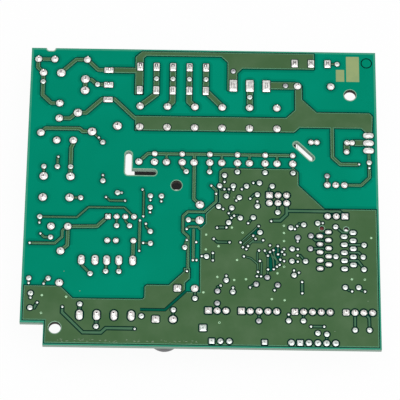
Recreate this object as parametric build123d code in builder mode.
"""Electronic control module of a household appliance: one bare circuit board with its parts.

The board lies as it does on a bench, solder side up, on the flat ends of its relays and of its
transformer. Plan positions are written as on a board drawing, from the lower left corner of the
board, x to the right and y up. Depths are counted from the component face, away from the board.
All sizes are in millimetres.
"""

from build123d import *
from itertools import chain
import os

os.makedirs("parts", exist_ok=True)

# ---- driving dimensions -------------------------------------------------------------------------
BOARD_L, BOARD_W, BOARD_T = 104.0, 96.0, 1.6
REST_DEPTH = 15.3  # height of the relays and the transformer, which the board lies on
NOTCH = 6.8  # square cut out of the lower left corner
MOUNTING_HOLE_R = 1.8
MOUNTING_HOLES = [(10.15, 5.35), (96.15, 81.5)]
LOCATING_HOLE_R = 1.6
LOCATING_HOLE = (44.45, 50.85)
PEG_HOLE_R = 0.7
PEG_HOLES = [(87.2, 37.7), (94.35, 37.5)]
NICK_X, NICK_L, NICK_W = 5.85, 2.6, 1.8  # left in the upper edge by the panel's parting tab
# creepage slots between mains and low voltage: centre, length, width, angle
SLOTS = [
    ((30.1, 57.85), 7.7, 1.9, 90),
    ((33.8, 54.95), 9.3, 1.9, 0),
    ((82.1, 62.6), 7.9, 1.7, -45),
]

COPPER_T = 0.1  # copper and the lacquer over it
CLEARANCE = 0.35  # bare ring round a pad that the ground pour passes by
ROW_RING, ROW_RING_CORNER = 2.7, 0.6  # bare band round a whole row of pins
JOINT_H = 0.9  # solder drawn up to the tip of the cut lead
ROUND_CORNER = 0.293  # chamfer that turns a square into an even octagon, as part of its width
PIN_PITCH = 2.54

RELAY_PITCH, RELAY_COUNT = 8.2, 6
RELAY_L, RELAY_W = 20.5, 7.2
RELAY_X0, RELAY_Y0 = 33.15, 57.0  # first column of contact pads, lower end of the cases
RELAY_CASE_SHIFT = 2.25  # middle of a case, right of its contact pads
RELAY_CONTACT_Y, RELAY_COMMON_Y, RELAY_COIL_Y = 76.8, 69.9, 58.4
RELAY_COIL_GAP = 4.65
COIL_RAIL_Y = 61.1

TAB_PITCH = 4.97
TAB_W, TAB_T, TAB_REACH = 6.3, 0.8, 8.0  # blade of a tab header
TAB_BASE_H = 3.2
TAB_RIB_T, TAB_RIB_H, TAB_RIB_INSET = 0.9, 1.6, 1.2  # keying ribs between the blades

HEADER_BASE_H, HEADER_WALL_H, HEADER_DEPTH = 3.2, 7.6, 5.8
HEADER_END = 2.0  # base beyond the first and last pin
HEADER_WALL_T, HEADER_WALL_INSET = 1.0, 1.5
PIN_W, PIN_REACH, SHORT_PIN_REACH = 0.64, 6.5, 3.2  # short pins are those of the plain strips

RIBBON_BODY_X, RIBBON_BODY_Y, RIBBON_BODY_H = 5.2, 15.2, 5.2
RIBBON_SLOT_DEPTH = 1.6

CORE_L, CORE_LEG, CORE_END, CORE_T = 20.0, 3.2, 3.3, 5.6  # ferrite frame of the transformer
COIL_X, COIL_Y, COIL_H, FLANGE_T = 13.0, 11.4, 13.0, 1.0
RAIL_REACH, RAIL_W = 8.6, 4.2  # pin rails of the bobbin, from the middle to their centre lines

CHOKE_LEG, CHOKE_RING_X, CHOKE_RING_T, CHOKE_RING_DEPTH = 2.6, 15.0, 3.0, 7.0
CHOKE_COIL_W, CHOKE_COIL_L, CHOKE_TURNS, CHOKE_TURN_TAPER = 5.9, 9.0, 8, 24

FUSE_R, FUSE_H = 4.2, 8.0
WIRE_W = 0.7

RELAY_COLUMNS = [RELAY_X0 + RELAY_PITCH * i for i in range(RELAY_COUNT)]


def row(x, y, count, pitch=PIN_PITCH):
    """Places in a line along x."""
    return [(x + pitch * i, y) for i in range(count)]


def column(x, y, count, pitch=PIN_PITCH):
    """Places in a line along y."""
    return [(x, y + pitch * i) for i in range(count)]


# ---- footprints: where leads come through the board -------------------------------------------------
TAB_5WAY = row(32.9, 90.1, 5, TAB_PITCH) + row(32.9, 82.2, 5, TAB_PITCH)
TAB_3WAY_LOAD = row(61.05, 84.15, 3, TAB_PITCH)
TAB_3WAY_VALVE = row(79.55, 91.95, 3, TAB_PITCH)
TAB_3WAY_MAINS = column(23.5, 78.8, 3, TAB_PITCH)

SUPPRESSOR = [(2.2, 92.2), (7.05, 92.2), (16.9, 92.2)]
VARISTOR_UPPER = [(9.15, 87.6), (16.5, 85.6)]
VARISTOR_LOWER = [(16.5, 81.8), (14.6, 74.3)]
THERMISTOR = [(19.0, 68.1), (26.55, 70.1)]
FUSE = [(9.05, 77.4), (9.1, 72.4)]
FILM_LEFT = [(8.6, 65.1), (13.5, 65.1)]
MAINS_LINKS = [(3.8, 87.6), (3.8, 67.5)]
CHOKE = [(5.15, 53.25), (13.05, 53.25), (5.15, 46.4), (13.05, 46.4)]
SAFETY_CAPACITOR = [(10.95, 29.3), (10.95, 19.3)]
SNUBBER = [(80.4, 84.3), (90.4, 84.3)]
# the coupling capacitor has its leads in the second and third pad, beside spare ones
COUPLING = [(84.3, 65.6), (86.0, 65.6), (95.0, 65.6), (96.5, 65.6), (94.85, 62.6)]
POWER_SWITCH = column(101.4, 63.1, 3, 2.5)
DIODES = row(4.2, 59.6, 4, 5.6)
CONTROLLER, RELAY_DRIVER = (73.6, 28.0), (63.6, 47.4)

BULK_CAPACITOR = [(7.9, 37.1), (12.85, 37.1)]
OUTPUT_CAPACITOR_1 = [(39.05, 8.4), (44.05, 8.4)]
OUTPUT_CAPACITOR_2 = [(45.2, 18.1), (50.2, 18.1)]
OUTPUT_CAPACITOR_3 = [(51.4, 44.7), (51.4, 39.7)]

SWITCHER_UPPER = row(24.5, 40.5, 4)
SWITCHER_LOWER = [place for i, place in enumerate(row(24.5, 32.85, 4)) if i != 2]
TRANSFORMER_PRIMARY = [(x, 26.6) for x in (17.1, 21.1, 24.5, 28.0, 32.05)]
TRANSFORMER_SECONDARY = row(17.1, 9.4, 4, 4.97)

SENSOR_3WAY = row(54.2, 11.3, 3)
PANEL_5WAY_LEFT = row(63.75, 11.3, 5)
PANEL_5WAY_RIGHT = row(79.15, 11.3, 5)
SENSOR_4WAY = row(93.95, 11.3, 4)
SIDE_3WAY_LOWER = row(88.95, 41.6, 3)
SIDE_3WAY_UPPER = row(88.95, 51.7, 3)
SERVICE_2X3 = row(71.85, 48.1, 3) + row(71.85, 45.6, 3)
RIBBON = column(86.6, 24.9, 5, 2.57) + column(89.1, 26.2, 5, 2.57)

RELAY_CONTACTS = [(x, y) for x in RELAY_COLUMNS for y in (RELAY_CONTACT_Y, RELAY_COMMON_Y)]
RELAY_COILS = [(x + dx, RELAY_COIL_Y) for x in RELAY_COLUMNS for dx in (0, RELAY_COIL_GAP)]
COIL_TAPS = [(x + RELAY_COIL_GAP, COIL_RAIL_Y) for x in RELAY_COLUMNS]

# pad sizes: (size along x, size along y, corner chamfer) and the places that have them
MAINS_PADS = {
    (2.3, 2.3, 2.3 * ROUND_CORNER): RELAY_CONTACTS + FUSE + FILM_LEFT + MAINS_LINKS + SNUBBER,
    (2.2, 2.2, 2.2 * ROUND_CORNER): RELAY_COILS + SUPPRESSOR,
    (1.8, 1.8, 1.8 * ROUND_CORNER): COIL_TAPS + COUPLING,
    (2.6, 2.6, 2.6 * ROUND_CORNER): VARISTOR_UPPER + VARISTOR_LOWER + THERMISTOR,
    (1.8, 2.7, 0): TAB_5WAY,
    (2.3, 3.9, 0): TAB_3WAY_LOAD,
    (1.9, 2.6, 0): TAB_3WAY_VALVE,
    (2.8, 1.8, 0): TAB_3WAY_MAINS,
    (3.2, 1.9, 1.9 * ROUND_CORNER): POWER_SWITCH,
}
SUPPLY_PADS = {
    (2.5, 2.5, 2.5 * ROUND_CORNER): CHOKE + OUTPUT_CAPACITOR_3,
    (2.3, 2.3, 2.3 * ROUND_CORNER): (
        SAFETY_CAPACITOR + BULK_CAPACITOR + OUTPUT_CAPACITOR_1 + OUTPUT_CAPACITOR_2
    ),
    (1.8, 1.8, 1.8 * ROUND_CORNER): SWITCHER_UPPER + SWITCHER_LOWER,
    (2.0, 3.1, 2.0 * ROUND_CORNER): TRANSFORMER_PRIMARY + TRANSFORMER_SECONDARY,
}
SIGNAL_PADS = {
    (2.0, 2.0, 2.0 * ROUND_CORNER): (
        SENSOR_3WAY[1:] + PANEL_5WAY_LEFT[1:] + PANEL_5WAY_RIGHT[1:] + SENSOR_4WAY[1:]
        + SIDE_3WAY_LOWER[:-1] + SIDE_3WAY_UPPER + SERVICE_2X3[1:]
    ),
    (2.0, 2.0, 0): (
        SENSOR_3WAY[:1] + PANEL_5WAY_LEFT[:1] + PANEL_5WAY_RIGHT[:1] + SENSOR_4WAY[:1]
        + SIDE_3WAY_LOWER[-1:] + SERVICE_2X3[:1]
    ),
    (2.0, 1.4, 1.4 * ROUND_CORNER): RIBBON,
}
ALL_PADS = [MAINS_PADS, SUPPLY_PADS, SIGNAL_PADS]
HEADER_ROWS = [
    SENSOR_3WAY, PANEL_5WAY_LEFT, PANEL_5WAY_RIGHT, SENSOR_4WAY, SIDE_3WAY_LOWER,
    SERVICE_2X3, RIBBON[:5], RIBBON[5:],
]
LOCKING_HEADERS = {
    "sensor_header_3way": SENSOR_3WAY,
    "panel_header_left": PANEL_5WAY_LEFT,
    "panel_header_right": PANEL_5WAY_RIGHT,
    "sensor_header_4way": SENSOR_4WAY,
    "side_header_upper": SIDE_3WAY_UPPER,
}
STRIP_HEADERS = {"service_header": SERVICE_2X3, "side_header_lower": SIDE_3WAY_LOWER}
# chips soldered to the component face: those that lie along x, and those that lie along y
CHIPS_ALONG_X = row(58.0, 36.5, 4, 3.4) + row(58.0, 33.6, 4, 3.4) + row(64.9, 20.2, 6, 3.2)
CHIPS_ALONG_Y = row(36.8, 45.0, 2, 3.3) + [(79.9, 21.0), (79.9, 26.0), (66.4, 27.0)]

# ---- copper: outlines of the pours, and (width, route) of the tracks -------------------------------
GROUND_POUR = [
    (0.8, 7.7), (7.3, 7.7), (7.3, 0.7), (103.3, 0.7), (103.3, 43.8), (88.0, 43.8),
    (80.4, 51.4), (80.4, 55.6), (79.4, 56.6), (58.1, 56.6), (57.1, 55.6), (57.1, 45.7),
    (53.2, 41.8), (53.2, 38.6), (51.7, 37.1), (51.7, 16.9), (47.3, 16.9), (47.3, 19.8),
    (48.7, 21.2), (48.7, 24.4), (47.0, 24.4), (47.0, 23.3), (42.7, 19.0), (36.3, 19.0),
    (35.7, 18.4), (35.7, 15.1), (35.1, 14.5), (15.0, 14.5), (11.8, 17.7), (11.2, 18.3),
    (0.8, 18.3),
]
GROUND_SLIT = [(34.5, 11.3), (41.7, 11.3), (47.6, 17.2)]
SUPPLY_BAR = [
    (31.8, 68.8), (79.3, 68.8), (80.9, 70.4), (99.3, 70.4), (100.3, 69.4), (100.3, 68.1),
    (102.5, 68.1), (102.8, 74.5), (101.8, 75.5), (86.0, 75.5), (81.7, 79.8), (81.7, 84.3),
    (79.6, 84.3), (79.6, 76.2), (76.9, 73.5), (31.8, 73.5),
]
LIVE_POUR = [
    (31.5, 80.8), (33.9, 80.8), (33.9, 93.0), (34.8, 93.9), (57.4, 93.9), (59.3, 92.0),
    (59.3, 82.5), (62.2, 82.5), (62.2, 88.4), (63.8, 90.0), (85.4, 90.0), (85.4, 95.3),
    (33.4, 95.3), (31.5, 93.4),
]
POWER_TRACKS = [
    (1.1, [(31.9, 72.5), (25.4, 79.0), (23.5, 79.0)]),
    (1.9, [(23.5, 88.8), (31.6, 88.8)]),
    (1.9, [(37.87, 90.1), (37.87, 80.9), (RELAY_X0, 76.8)]),
    (1.9, [(42.84, 90.1), (42.84, 78.5), (41.35, 76.8)]),
    (1.9, [(47.81, 90.1), (47.81, 78.5), (49.55, 76.8)]),
    (1.9, [(52.78, 90.1), (52.78, 82.2), (57.75, 76.9)]),
    (1.8, [(66.02, 84.1), (66.02, 76.8)]),
    (2.4, [(72.3, 84.35), (79.5, 84.35)]),
    (1.9, [(96.9, 65.6), (101.4, 65.6)]),
    (1.0, [(90.6, 70.3), (90.6, 60.8), (92.9, 58.5), (98.5, 58.5)]),
    (1.1, [(2.2, 92.2), (7.05, 92.2)]),
    (1.1, [(2.1, 91.9), (2.1, 89.4), (3.8, 87.6)]),
    (1.1, [(9.15, 87.8), (13.6, 92.2), (16.9, 92.2)]),
    (1.1, [(16.9, 92.2), (20.3, 88.8), (23.5, 88.8)]),
    (1.2, [(16.5, 85.6), (16.5, 81.8)]),
    (1.1, [(17.0, 85.6), (18.8, 83.8), (23.5, 83.8)]),
    (1.1, [(3.8, 84.6), (3.8, 80.1), (6.5, 77.4), (9.05, 77.4)]),
    (1.2, [(23.5, 79.0), (21.7, 79.0), (17.0, 74.3), (14.6, 74.3)]),
    (1.1, [(9.1, 72.4), (12.3, 72.4), (14.2, 74.3)]),
    (1.1, [(3.8, 67.6), (5.2, 69.0), (15.3, 69.0), (16.2, 68.1), (19.0, 68.1)]),
    (1.1, [(13.5, 65.1), (13.0, 62.7), (13.0, 53.2)]),
]
SUPPLY_TRACKS = [
    (0.6, [(4.5, 40.1), (15.4, 40.1), (18.7, 43.4), (29.2, 43.4), (32.0, 40.6)]),
    (1.2, [(24.5, 40.5), (21.4, 37.3), (12.9, 37.1)]),
    (0.8, [(1.9, 31.7), (9.2, 31.7), (11.3, 33.8), (11.3, 35.8), (12.6, 37.1)]),
    (1.2, [(12.9, 37.1), (12.9, 31.2), (10.95, 29.3)]),
    (1.2, [(32.1, 32.85), (32.05, 26.6)]),
    (0.8, [(33.85, 39.3), (33.85, 29.7)]),
    (0.7, [(34.85, 49.3), (34.85, 40.7)]),
    (0.6, [(23.75, 46.7), (24.9, 45.6), (29.35, 45.6)]),
    (0.9, [(49.6, 58.4), (49.6, 46.5), (51.4, 44.7)]),
    (
        0.7,
        [
            (54.7, 50.9), (56.2, 49.4), (56.2, 45.8), (52.8, 42.4), (47.9, 42.4),
            (46.5, 41.0), (46.5, 36.0), (48.1, 34.4), (48.1, 24.4),
        ],
    ),
    (0.7, [(49.65, 36.9), (49.65, 27.0)]),
    (
        0.9,
        [
            (RELAY_X0, RELAY_COIL_Y), (RELAY_X0 + 2.7, COIL_RAIL_Y),
            (RELAY_COLUMNS[-1] + RELAY_COIL_GAP, COIL_RAIL_Y),
        ],
    ),
] + [(0.8, [(x, RELAY_COIL_Y), (x, COIL_RAIL_Y)]) for x in RELAY_COLUMNS[1:]]
# tracks that cross the ground pour, each in its own clearance
CROSSING_TRACKS = [
    (0.7, [(12.1, 11.8), (12.1, 10.1), (18.2, 4.0), (23.4, 4.0), (24.8, 5.4), (33.1, 5.4)]),
    (0.7, [(76.93, 45.6), (76.93, 41.9), (75.0, 39.9), (72.4, 39.9)]),
]


# ---- planes and shared shapes -----------------------------------------------------------------------
def solder_side(height=0):
    """Plane over the board with its origin above the lower left corner, facing up."""
    return Plane((-BOARD_L / 2, -BOARD_W / 2, REST_DEPTH + BOARD_T + height))


def component_side(depth=0):
    """Plane under the board at a depth below the component face; solids grow down from it."""
    return Plane((-BOARD_L / 2, -BOARD_W / 2, REST_DEPTH - depth))


def middle(places):
    """Centre of the box round some places."""
    xs, ys = zip(*places)
    return ((min(xs) + max(xs)) / 2, (min(ys) + max(ys)) / 2)


def strip_outline(route, width):
    """Both long sides of a flat strip of one width, mitred where its route turns."""
    points = [Vector(*place) for place in route]
    headings = [(b - a).normalized() for a, b in zip(points, points[1:])]
    left, right = [], []
    for i, point in enumerate(points):
        before, after = headings[max(i - 1, 0)], headings[min(i, len(headings) - 1)]
        across = Vector(-before.Y - after.Y, before.X + after.X)
        step = across * (width / 2 / (1 + before.dot(after)))
        left.append(point + step)
        right.insert(0, point - step)
    return left + right


def flat_shape(outline, mode=Mode.ADD):
    """A closed flat shape in the open sketch, at its own coordinates."""
    Polygon(*outline, align=None, mode=mode)


def pad_shape(size_x, size_y, corner, mode=Mode.ADD):
    """The outline of a pad: a rectangle, or an octagon where its corners are cut."""
    with BuildSketch(mode=Mode.PRIVATE) as pad:
        Rectangle(size_x, size_y)
        if corner:
            chamfer(pad.vertices(), corner)
    add(pad.sketch, mode=mode)


def write(name, piece):
    """Label a finished piece and write its STEP file."""
    piece.part.label = name
    export_step(piece.part, f"parts/{name}.step")


# ---- the board, its copper and its solder ---------------------------------------------------------
def make_board():
    with BuildPart() as board:
        with BuildSketch(solder_side()):
            flat_shape(
                [(0, NOTCH), (NOTCH, NOTCH), (NOTCH, 0), (BOARD_L, 0), (BOARD_L, BOARD_W), (0, BOARD_W)]
            )
            with Locations(*MOUNTING_HOLES):
                Circle(MOUNTING_HOLE_R, mode=Mode.SUBTRACT)
            with Locations(LOCATING_HOLE):
                Circle(LOCATING_HOLE_R, mode=Mode.SUBTRACT)
            with Locations(*PEG_HOLES):
                Circle(PEG_HOLE_R, mode=Mode.SUBTRACT)
            with Locations((NICK_X, BOARD_W)):
                SlotOverall(NICK_L, NICK_W, mode=Mode.SUBTRACT)
            for centre, length, width, angle in SLOTS:
                with Locations(centre):
                    SlotOverall(length, width, rotation=angle, mode=Mode.SUBTRACT)
        extrude(amount=-BOARD_T)
    write("circuit_board", board)


def make_pours():
    """Broad copper areas. The ground pour keeps clear of every pad and pin row it passes."""
    with BuildPart() as pours:
        with BuildSketch(solder_side()):
            flat_shape(GROUND_POUR)
            flat_shape(strip_outline(GROUND_SLIT, 0.95), Mode.SUBTRACT)
            for width, route in CROSSING_TRACKS:
                flat_shape(strip_outline(route, width + 2 * CLEARANCE), Mode.SUBTRACT)
            for (size_x, size_y, corner), places in SUPPLY_PADS.items():
                with Locations(*places):
                    pad_shape(
                        size_x + 2 * CLEARANCE, size_y + 2 * CLEARANCE,
                        corner + CLEARANCE / 2, Mode.SUBTRACT,
                    )
            for places in HEADER_ROWS:  # the rings of neighbouring pins run into one another
                xs, ys = zip(*places)
                with Locations(middle(places)):
                    pad_shape(
                        max(xs) - min(xs) + ROW_RING, max(ys) - min(ys) + ROW_RING,
                        ROW_RING_CORNER, Mode.SUBTRACT,
                    )
            for places, hole_r in ((MOUNTING_HOLES[:1], MOUNTING_HOLE_R), (PEG_HOLES, PEG_HOLE_R)):
                ring = 2 * (hole_r + CLEARANCE)
                with Locations(*places):
                    pad_shape(ring, ring, ring * ROUND_CORNER, Mode.SUBTRACT)
            flat_shape(SUPPLY_BAR)
            flat_shape(LIVE_POUR)
            for (size_x, size_y, corner), places in MAINS_PADS.items():
                with Locations(*places):
                    pad_shape(size_x, size_y, corner, Mode.SUBTRACT)
        extrude(amount=COPPER_T)
    write("copper_pours", pours)


def make_tracks():
    """Copper strips, which end at the pads they join."""
    with BuildPart() as tracks:
        with BuildSketch(solder_side()):
            for width, route in POWER_TRACKS + SUPPLY_TRACKS + CROSSING_TRACKS:
                flat_shape(strip_outline(route, width))
            for pads in ALL_PADS:
                for (size_x, size_y, corner), places in pads.items():
                    with Locations(*places):
                        pad_shape(size_x, size_y, corner, Mode.SUBTRACT)
            flat_shape(SUPPLY_BAR, Mode.SUBTRACT)
            flat_shape(LIVE_POUR, Mode.SUBTRACT)
        extrude(amount=COPPER_T)
    write("copper_tracks", tracks)


def make_joints(name, *pad_groups):
    """Solder over the pads, drawn up from each pad's outline to the tip of the cut lead."""
    with BuildPart(solder_side()) as joints:
        for (size_x, size_y, corner), places in chain(*(pads.items() for pads in pad_groups)):
            with BuildPart(mode=Mode.PRIVATE) as cone:
                with BuildSketch() as foot:
                    pad_shape(size_x, size_y, corner)
                loft(sections=[foot.sketch, Vertex(0, 0, JOINT_H)], ruled=True)
            with Locations(*places):
                add(cone.part)
    write(name, joints)


# ---- relays -----------------------------------------------------------------------------------------
def make_relay(number, contact_x):
    """A slim sealed relay: a case over a narrower base that stands on four small feet."""
    foot_w, foot_h, base_h, inset = 0.8, 0.3, 1.9, 0.3
    centre = (contact_x + RELAY_CASE_SHIFT, RELAY_Y0 + RELAY_L / 2)
    with BuildPart() as relay:
        with BuildSketch(component_side(base_h)):
            with Locations(centre):
                Rectangle(RELAY_W, RELAY_L)
        extrude(amount=base_h - REST_DEPTH)
        chamfer(relay.faces().sort_by(Axis.Z)[0].edges(), 0.5)
        chamfer(relay.edges().filter_by(Axis.Z), 0.4)
        with BuildSketch(component_side(foot_h)):
            with Locations(centre):
                Rectangle(RELAY_W - 2 * inset, RELAY_L - 2 * inset)
        extrude(amount=foot_h - base_h)
        with BuildSketch(component_side()):
            with Locations(centre):
                with GridLocations(RELAY_W - 2 * foot_w, RELAY_L - 2 * foot_w, 2, 2):
                    Rectangle(foot_w, foot_w)
        extrude(amount=-foot_h)
    write(f"relay_{number}", relay)


# ---- headers ------------------------------------------------------------------------------------------
def make_tab_header(name, places, size_x, size_y, blades_along_x=False):
    """Base strip of a tab header with a raised rib between neighbouring blades."""
    centre = middle(places)
    ways = round((size_y if blades_along_x else size_x) / TAB_PITCH)
    with BuildPart() as base:
        with BuildSketch(component_side()):
            with Locations(centre):
                Rectangle(size_x, size_y)
        extrude(amount=-TAB_BASE_H)
        chamfer(base.faces().sort_by(Axis.Z)[0].edges(), 0.5)
        with BuildSketch(component_side(TAB_BASE_H)):
            with Locations(centre):
                if blades_along_x:
                    with GridLocations(0, TAB_PITCH, 1, ways - 1):
                        Rectangle(size_x - 2 * TAB_RIB_INSET, TAB_RIB_T)
                else:
                    with GridLocations(TAB_PITCH, 0, ways - 1, 1):
                        Rectangle(TAB_RIB_T, size_y - 2 * TAB_RIB_INSET)
        extrude(amount=-TAB_RIB_H)
    write(name, base)

    with BuildPart() as blades:
        with BuildSketch(component_side(TAB_BASE_H)):
            with Locations(centre):
                if blades_along_x:
                    with GridLocations(0, TAB_PITCH, 1, ways):
                        Rectangle(TAB_W, TAB_T)
                else:
                    with GridLocations(TAB_PITCH, 0, ways, 1):
                        Rectangle(TAB_T, TAB_W)
        extrude(amount=-TAB_REACH)
        tips = blades.faces().group_by(Axis.Z)[0].edges()
        chamfer(tips.filter_by(Axis.X if blades_along_x else Axis.Y), 0.25)
    write(f"{name}_blades", blades)


def make_pin_header(name, places):
    """Base of a friction lock header, with the sprung wall along one side of its pins."""
    centre_x, centre_y = middle(places)
    length = (len(places) - 1) * PIN_PITCH + 2 * HEADER_END
    with BuildPart() as header:
        with BuildSketch(component_side()):
            with Locations((centre_x, centre_y)):
                Rectangle(length, HEADER_DEPTH)
        extrude(amount=-HEADER_BASE_H)
        chamfer(header.edges().filter_by(Axis.Z), 0.5)
        with BuildSketch(component_side(HEADER_BASE_H)):
            with Locations((centre_x, centre_y + (HEADER_DEPTH - HEADER_WALL_T) / 2)):
                Rectangle(length - 2 * HEADER_WALL_INSET, HEADER_WALL_T)
        extrude(amount=-HEADER_WALL_H)
        wall_end = header.faces().sort_by(Axis.Z)[0]
        chamfer(wall_end.edges().filter_by(Axis.X), 0.3)
    write(name, header)


def make_strip_header(name, places):
    """Low plain strip of a pin header, one square cell for each pin."""
    with BuildPart() as header:
        with BuildSketch(component_side()):
            with Locations(*places):
                Rectangle(PIN_PITCH, PIN_PITCH)
        extrude(amount=-PIN_PITCH)
    write(name, header)


def make_header_pins():
    """Square pins of all pin headers, from the base to their mating length."""
    with BuildPart() as pins:
        with BuildSketch(component_side(HEADER_BASE_H)):
            with Locations(*chain(*LOCKING_HEADERS.values())):
                Rectangle(PIN_W, PIN_W)
        extrude(amount=-PIN_REACH)
        with BuildSketch(component_side(PIN_PITCH)):
            with Locations(*chain(*STRIP_HEADERS.values())):
                Rectangle(PIN_W, PIN_W)
        extrude(amount=-SHORT_PIN_REACH)
    write("header_pins", pins)


def make_ribbon_connector():
    """Low female connector with two staggered rows of contacts and a locating peg."""
    slot_x, slot_y = 1.6, 0.8
    contact_x, contact_y, contact_sunk = 1.0, 0.35, 0.4
    peg_play, peg_short = 0.05, 0.6  # the peg ends inside its hole
    with BuildPart() as connector:
        with BuildSketch(component_side()):
            with Locations(middle(RIBBON)):
                Rectangle(RIBBON_BODY_X, RIBBON_BODY_Y)
        extrude(amount=-RIBBON_BODY_H)
        chamfer(connector.edges().filter_by(Axis.Z), 0.4)
        with BuildSketch(component_side(RIBBON_BODY_H)):
            with Locations(*RIBBON):
                Rectangle(slot_x, slot_y)
        extrude(amount=RIBBON_SLOT_DEPTH, mode=Mode.SUBTRACT)
        with BuildSketch(component_side()):
            with Locations(PEG_HOLES[0]):
                RegularPolygon(PEG_HOLE_R - peg_play, 8)
        extrude(amount=BOARD_T - peg_short)
    write("ribbon_connector", connector)

    with BuildPart() as contacts:
        with BuildSketch(component_side(RIBBON_BODY_H - RIBBON_SLOT_DEPTH)):
            with Locations(*RIBBON):
                Rectangle(contact_x, contact_y)
        extrude(amount=contact_sunk - RIBBON_SLOT_DEPTH)
    write("ribbon_contacts", contacts)


# ---- transformer --------------------------------------------------------------------------------------
def make_transformer():
    """Ferrite frame lying level through a taped coil, on a bobbin with two pin rails."""
    x, y = middle(TRANSFORMER_PRIMARY + TRANSFORMER_SECONDARY)
    core_top = REST_DEPTH - (COIL_H + CORE_T) / 2  # depth of the face nearest to the board
    window_x = (CORE_L - 2 * CORE_LEG - CORE_T) / 2
    window_y = CORE_L - 2 * CORE_END
    flange_start, flange_rim, flange_short = 1.0, 0.3, 1.2

    with BuildPart() as core:
        with BuildSketch(component_side(core_top)):
            with Locations((x, y)):
                Rectangle(CORE_L, CORE_L)
                with GridLocations(window_x + CORE_T, 0, 2, 1):
                    Rectangle(window_x, window_y, mode=Mode.SUBTRACT)
        extrude(amount=-CORE_T)
        chamfer(core.edges().filter_by(Axis.Z).group_by(SortBy.DISTANCE)[-1], 0.6)
    write("transformer_core", core)

    with BuildPart() as bobbin:
        for side in (-1, 1):
            with BuildSketch(component_side()):
                with Locations((x, y + side * RAIL_REACH)):
                    Rectangle(CORE_L - 2 * flange_rim, RAIL_W)
            extrude(amount=-core_top)
            with BuildSketch(component_side(flange_start)):
                with Locations((x, y + side * (COIL_Y + FLANGE_T) / 2)):
                    Rectangle(COIL_X + 2 * flange_rim, FLANGE_T)
            extrude(amount=flange_short - REST_DEPTH)
        with BuildSketch(component_side(core_top)):  # passage of the core's leg
            with Locations((x, y)):
                Rectangle(CORE_T, CORE_L)
        extrude(amount=-CORE_T, mode=Mode.SUBTRACT)
    write("transformer_bobbin", bobbin)

    with BuildPart() as winding:
        with BuildSketch(Plane.XZ.offset(BOARD_W / 2 - y + COIL_Y / 2)):
            with Locations((x - BOARD_L / 2, COIL_H / 2)):
                Rectangle(COIL_X, COIL_H)
                Rectangle(CORE_T, CORE_T, mode=Mode.SUBTRACT)
        extrude(amount=-COIL_Y)
        corners = winding.edges().filter_by(Axis.Y).group_by(SortBy.DISTANCE)
        fillet(corners[-1] + corners[-2], 1.6)
    write("transformer_winding", winding)


# ---- mains filter ---------------------------------------------------------------------------------------
def make_choke():
    """Common mode choke: a level ferrite ring with one winding on each long leg."""
    x, y = middle(CHOKE)
    spread = CHOKE[0][1] - CHOKE[2][1]  # between the middles of the two long legs
    ring_y = spread + CHOKE_LEG
    base_h, cheek_t = 1.6, 0.8
    leg_ends = [(y - BOARD_W / 2 + side * spread / 2, REST_DEPTH - CHOKE_RING_DEPTH) for side in (-1, 1)]
    coil_start = x - BOARD_L / 2 - CHOKE_COIL_L / 2
    turn_w = CHOKE_COIL_L / CHOKE_TURNS

    with BuildPart() as core:
        with BuildSketch(component_side(CHOKE_RING_DEPTH - CHOKE_RING_T / 2)):
            with Locations((x, y)):
                Rectangle(CHOKE_RING_X, ring_y)
                Rectangle(CHOKE_RING_X - 2 * CHOKE_LEG, ring_y - 2 * CHOKE_LEG, mode=Mode.SUBTRACT)
        extrude(amount=-CHOKE_RING_T)
    write("choke_core", core)

    with BuildPart() as windings:
        for turn in range(CHOKE_TURNS):  # each turn is highest in its middle
            with BuildSketch(Plane.YZ.offset(coil_start + turn_w * (turn + 0.5))):
                with Locations(*leg_ends):
                    pad_shape(CHOKE_COIL_W, CHOKE_COIL_W, CHOKE_COIL_W * ROUND_CORNER)
            extrude(amount=turn_w / 2, both=True, taper=CHOKE_TURN_TAPER)
        with BuildSketch(Plane.YZ.offset(coil_start)):
            with Locations(*leg_ends):
                Rectangle(CHOKE_LEG, CHOKE_RING_T)
        extrude(amount=CHOKE_COIL_L, mode=Mode.SUBTRACT)
    write("choke_windings", windings)

    with BuildPart() as bobbin:
        with BuildSketch(component_side()):
            with Locations((x, y)):
                Rectangle(CHOKE_RING_X - 1.0, ring_y + 2.4)
        extrude(amount=-base_h)
        with BuildSketch(component_side(base_h)):
            with Locations((x, y)):
                with GridLocations(CHOKE_COIL_L + cheek_t, 0, 2, 1):
                    Rectangle(cheek_t, ring_y + 2.0)
        extrude(amount=base_h - CHOKE_RING_DEPTH + CHOKE_RING_T / 2)
    write("choke_bobbin", bobbin)


def make_box_capacitor(name, places, size_x, size_y, height):
    """Moulded box of a film capacitor, standing on two thin feet."""
    foot_w, foot_h, foot_short = 0.8, 0.4, 1.2
    centre = middle(places)
    with BuildPart() as box:
        with BuildSketch(component_side(foot_h)):
            with Locations(centre):
                Rectangle(size_x, size_y)
        extrude(amount=foot_h - height)
        chamfer(box.edges().filter_by(Axis.Z), 0.5)
        chamfer(box.faces().sort_by(Axis.Z)[0].edges(), 0.3)
        with BuildSketch(component_side()):
            with Locations(centre):
                with GridLocations(size_x - 2 * foot_w, 0, 2, 1):
                    Rectangle(foot_w, size_y - foot_short)
        extrude(amount=-foot_h)
    write(name, box)


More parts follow.
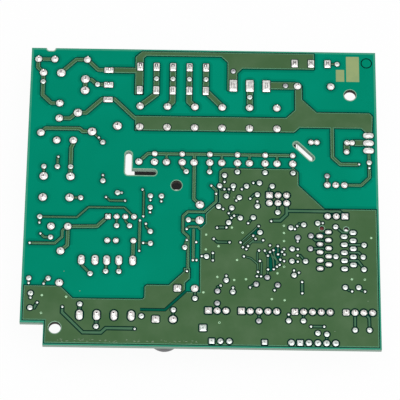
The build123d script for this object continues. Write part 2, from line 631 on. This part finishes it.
def make_disc(name, places, diameter, thickness, stand_off=2.2):
    """Coated disc standing on edge over its two leads."""
    (x1, y1), (x2, y2) = places
    x, y = middle(places)
    along_y = abs(y2 - y1) > abs(x2 - x1)
    face = Plane(
        (x - BOARD_L / 2, y - BOARD_W / 2, REST_DEPTH - stand_off - diameter / 2),
        z_dir=(1, 0, 0) if along_y else (0, 1, 0),
    )
    with BuildPart() as disc:
        with BuildSketch(face):
            Circle(diameter / 2)
        extrude(amount=thickness / 2, both=True)
    write(name, disc)
    return disc.part


def make_fuse():
    """Small round plug in fuse."""
    with BuildPart() as fuse:
        with BuildSketch(component_side()):
            with Locations(middle(FUSE)):
                Circle(FUSE_R)
        extrude(amount=-FUSE_H)
    write("fuse", fuse)


def make_can(name, places, diameter, height):
    """Radial electrolytic capacitor with the rolled rim of its end."""
    with BuildPart() as can:
        with BuildSketch(component_side()):
            with Locations(middle(places)):
                Circle(diameter / 2)
        extrude(amount=-height)
        chamfer(can.faces().sort_by(Axis.Z)[0].edges(), 0.4)
    write(name, can)


def make_component_leads(discs):
    """Round wires that hold the discs, cut where they enter the coating."""
    reach = 6.0
    with BuildPart() as leads:
        with BuildSketch(component_side()):
            with Locations(*VARISTOR_UPPER, *VARISTOR_LOWER, *THERMISTOR, *SAFETY_CAPACITOR):
                RegularPolygon(WIRE_W / 2, 6)
        extrude(amount=-reach)
        for disc in discs:
            add(disc, mode=Mode.SUBTRACT)
    write("component_leads", leads)


# ---- semiconductors ---------------------------------------------------------------------------------------
def lead_outline(inner, outer, seat, thickness=0.25):
    """Side of a lead: bent square down if it is tall, and a short slope if it lies low."""
    if seat > 1:
        return [
            (inner, seat + thickness / 2), (outer, seat + thickness / 2), (outer, 0),
            (outer - thickness, 0), (outer - thickness, seat - thickness / 2),
            (inner, seat - thickness / 2),
        ]
    return [(inner, seat), (inner, seat - thickness), (outer - 2 * thickness, 0), (outer, 0)]


def make_lead_row(places, towards, inner, outer, seat, width):
    """Leads beside each other, pointing away from the body along the board."""
    for x, y in places:
        flat = Plane(
            (x - BOARD_L / 2, y - BOARD_W / 2, REST_DEPTH), x_dir=towards,
            z_dir=Vector(*towards).cross(Vector(0, 0, -1)),
        )
        with BuildSketch(flat, mode=Mode.PRIVATE) as side:
            Polygon(*lead_outline(inner, outer, seat), align=None)
        extrude(side.sketch, amount=width / 2, both=True)


def make_chip(name, centre, size, stand_off, sides, seat, span, lead_w):
    """Moulded chip with leads: sides holds (direction, places beside the centre line)."""
    size_x, size_y, height = size
    dimple_r, dimple_inset, dimple_depth = 0.5, 1.2, 0.2
    with BuildPart() as body:
        with BuildSketch(component_side(stand_off)):
            with Locations(centre):
                Rectangle(size_x, size_y)
        extrude(amount=-height)
        chamfer(body.faces().sort_by(Axis.Z)[0].edges(), 0.25)
        first_lead = (centre[0] - size_x / 2 + dimple_inset, centre[1] - size_y / 2 + dimple_inset)
        with BuildSketch(component_side(stand_off + height)):
            with Locations(first_lead):
                RegularPolygon(dimple_r, 8)
        extrude(amount=dimple_depth, mode=Mode.SUBTRACT)
    write(name, body)

    with BuildPart() as leads:
        for towards, places in sides:
            reach = size_x / 2 if towards[0] else size_y / 2
            make_lead_row(places, towards, reach, reach + span, seat, lead_w)
    write(f"{name}_leads", leads)


def make_chips():
    """Supply switcher, controller and relay driver."""
    up, down, left, right = (0, 1, 0), (0, -1, 0), (-1, 0, 0), (1, 0, 0)
    switcher_x, switcher_y = middle(SWITCHER_UPPER + SWITCHER_LOWER)
    make_chip(
        "switcher_ic", (switcher_x, switcher_y), (9.6, 6.4, 3.3), 0.5,
        [
            (up, [(x, switcher_y) for x, _ in SWITCHER_UPPER]),
            (down, [(x, switcher_y) for x, _ in SWITCHER_LOWER]),
        ],
        seat=2.0, span=0.75, lead_w=1.2,
    )
    x, y = CONTROLLER
    across, along = row(x - 2.8, y, 8, 0.8), column(x, y - 2.8, 8, 0.8)
    make_chip(
        "microcontroller", CONTROLLER, (7.0, 7.0, 1.4), 0.1,
        [(up, across), (down, across), (left, along), (right, along)],
        seat=0.7, span=1.0, lead_w=0.35,
    )
    x, y = RELAY_DRIVER
    driver_row = row(x - 3.5 * 1.27, y, 8, 1.27)
    make_chip(
        "relay_driver", RELAY_DRIVER, (10.0, 3.9, 1.5), 0.1, [(up, driver_row), (down, driver_row)],
        seat=0.8, span=1.05, lead_w=0.42,
    )


def make_power_switch():
    """Three lead power switch, standing near the edge with its metal back towards the edge."""
    x, y = middle(POWER_SWITCH)
    stand_off, width = 3.4, 10.0
    body_t, body_h, body_shift = 3.1, 9.2, -0.6
    metal_t, metal_h = 1.3, 10.5
    with BuildPart() as body:
        with BuildSketch(component_side(stand_off)):
            with Locations((x + body_shift, y)):
                Rectangle(body_t, width)
        extrude(amount=-body_h)
        chamfer(body.faces().sort_by(Axis.X)[0].edges(), 0.4)
    write("power_switch", body)

    with BuildPart() as metal:
        with BuildSketch(component_side(stand_off)):
            with Locations((x + body_shift + (body_t + metal_t) / 2, y)):
                Rectangle(metal_t, width)
        extrude(amount=-metal_h)
        with BuildSketch(component_side()):
            with Locations(*POWER_SWITCH):
                Rectangle(0.5, 0.9)
        extrude(amount=-stand_off)
    write("power_switch_metal", metal)


def make_small_parts():
    """Flat chips soldered to the component face, and the four mains rectifier diodes."""
    chip_l, chip_w, chip_h = 2.0, 1.25, 0.6
    with BuildPart() as chips:
        with BuildSketch(component_side()):
            with Locations(*CHIPS_ALONG_X):
                Rectangle(chip_l, chip_w)
            with Locations(*CHIPS_ALONG_Y):
                Rectangle(chip_w, chip_l)
        extrude(amount=-chip_h)
    write("chip_parts", chips)

    with BuildPart() as diodes:
        with BuildSketch(component_side()):
            with Locations(*DIODES):
                Rectangle(4.4, 2.6)
        extrude(amount=-2.1)
        chamfer(diodes.faces().group_by(Axis.Z)[0].edges(), 0.25)
    write("rectifier_diodes", diodes)


make_board()
make_pours()
make_tracks()
make_joints("solder_joints_mains", MAINS_PADS)
make_joints("solder_joints_low_voltage", SUPPLY_PADS, SIGNAL_PADS)

for number, contact_x in enumerate(RELAY_COLUMNS, start=1):
    make_relay(number, contact_x)
make_tab_header("output_header", TAB_5WAY, 24.9, 12.4)
make_tab_header("load_header", TAB_3WAY_LOAD, 15.0, 9.6)
make_tab_header("valve_header", TAB_3WAY_VALVE, 15.0, 7.8)
make_tab_header("mains_header", TAB_3WAY_MAINS, 9.0, 15.0, blades_along_x=True)
for name, places in LOCKING_HEADERS.items():
    make_pin_header(name, places)
for name, places in STRIP_HEADERS.items():
    make_strip_header(name, places)
make_header_pins()
make_ribbon_connector()
make_transformer()
make_choke()
make_box_capacitor("suppression_capacitor", SUPPRESSOR, 18.0, 5.6, 11.5)
make_box_capacitor("snubber_capacitor", SNUBBER, 13.0, 5.0, 11.0)
make_box_capacitor("coupling_capacitor", COUPLING[1:3], 10.4, 5.0, 11.0)
make_box_capacitor("film_capacitor", FILM_LEFT, 7.2, 4.5, 9.5)
discs = [
    make_disc("varistor_upper", VARISTOR_UPPER, 10.6, 4.2),
    make_disc("varistor_lower", VARISTOR_LOWER, 10.6, 4.2),
    make_disc("inrush_thermistor", THERMISTOR, 10.0, 4.0),
    make_disc("safety_capacitor", SAFETY_CAPACITOR, 12.0, 4.4),
]
make_component_leads(discs)
make_fuse()
make_can("bulk_capacitor", BULK_CAPACITOR, 12.5, 15.0)
make_can("output_capacitor_1", OUTPUT_CAPACITOR_1, 10.0, 12.5)
make_can("output_capacitor_2", OUTPUT_CAPACITOR_2, 10.0, 12.5)
make_can("output_capacitor_3", OUTPUT_CAPACITOR_3, 8.0, 11.5)
make_chips()
make_power_switch()
make_small_parts()
